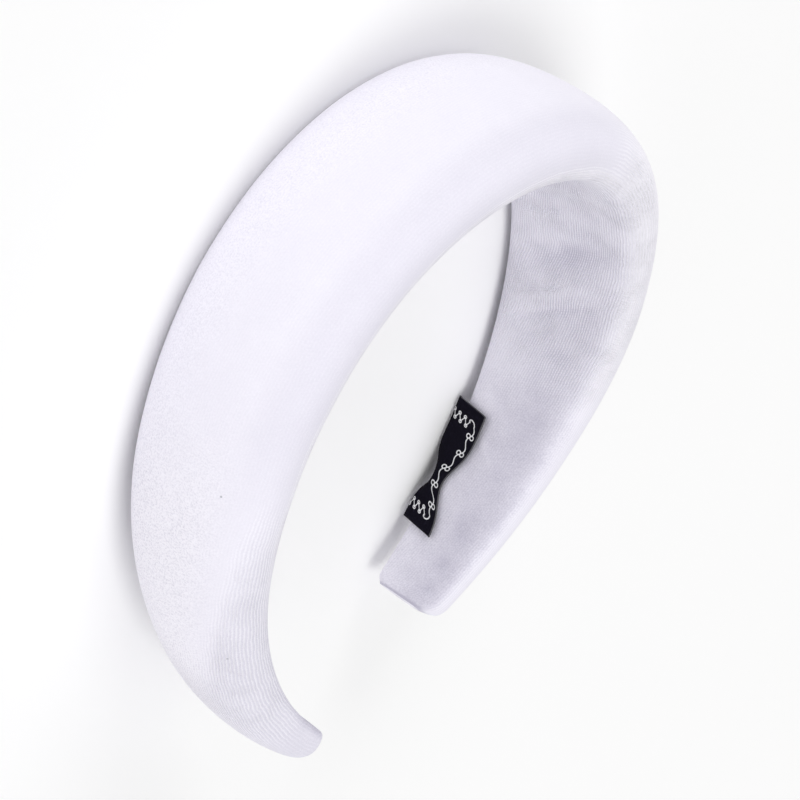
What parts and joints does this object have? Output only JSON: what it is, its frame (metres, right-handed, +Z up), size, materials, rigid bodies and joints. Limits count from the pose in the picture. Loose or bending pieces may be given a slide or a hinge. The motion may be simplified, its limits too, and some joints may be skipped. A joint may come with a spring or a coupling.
{
  "type": "padded headband",
  "caption": "Wide padded fabric headband, an open arch with a domed outside, a flat inner face and narrowing rounded ends, with a small folded ribbon on one edge.",
  "frame": {"origin": "middle of the footprint, on the surface that the headband lies on", "axes": "+Z up, across the band's width; the crown is toward -Y and the two ends toward +Y; the ribbon is on the -X side"},
  "size_m": [0.1714, 0.1748, 0.0473],
  "materials": {
    "velvet": "white ribbed velvet knit with a fine lengthwise cord and a soft sheen",
    "ribbon": "black satin-woven ribbon with a border in white thread"
  },
  "bodies": {
    "root": {"padded_band": "velvet", "ribbon": "ribbon"}
  },
  "joints": []
}
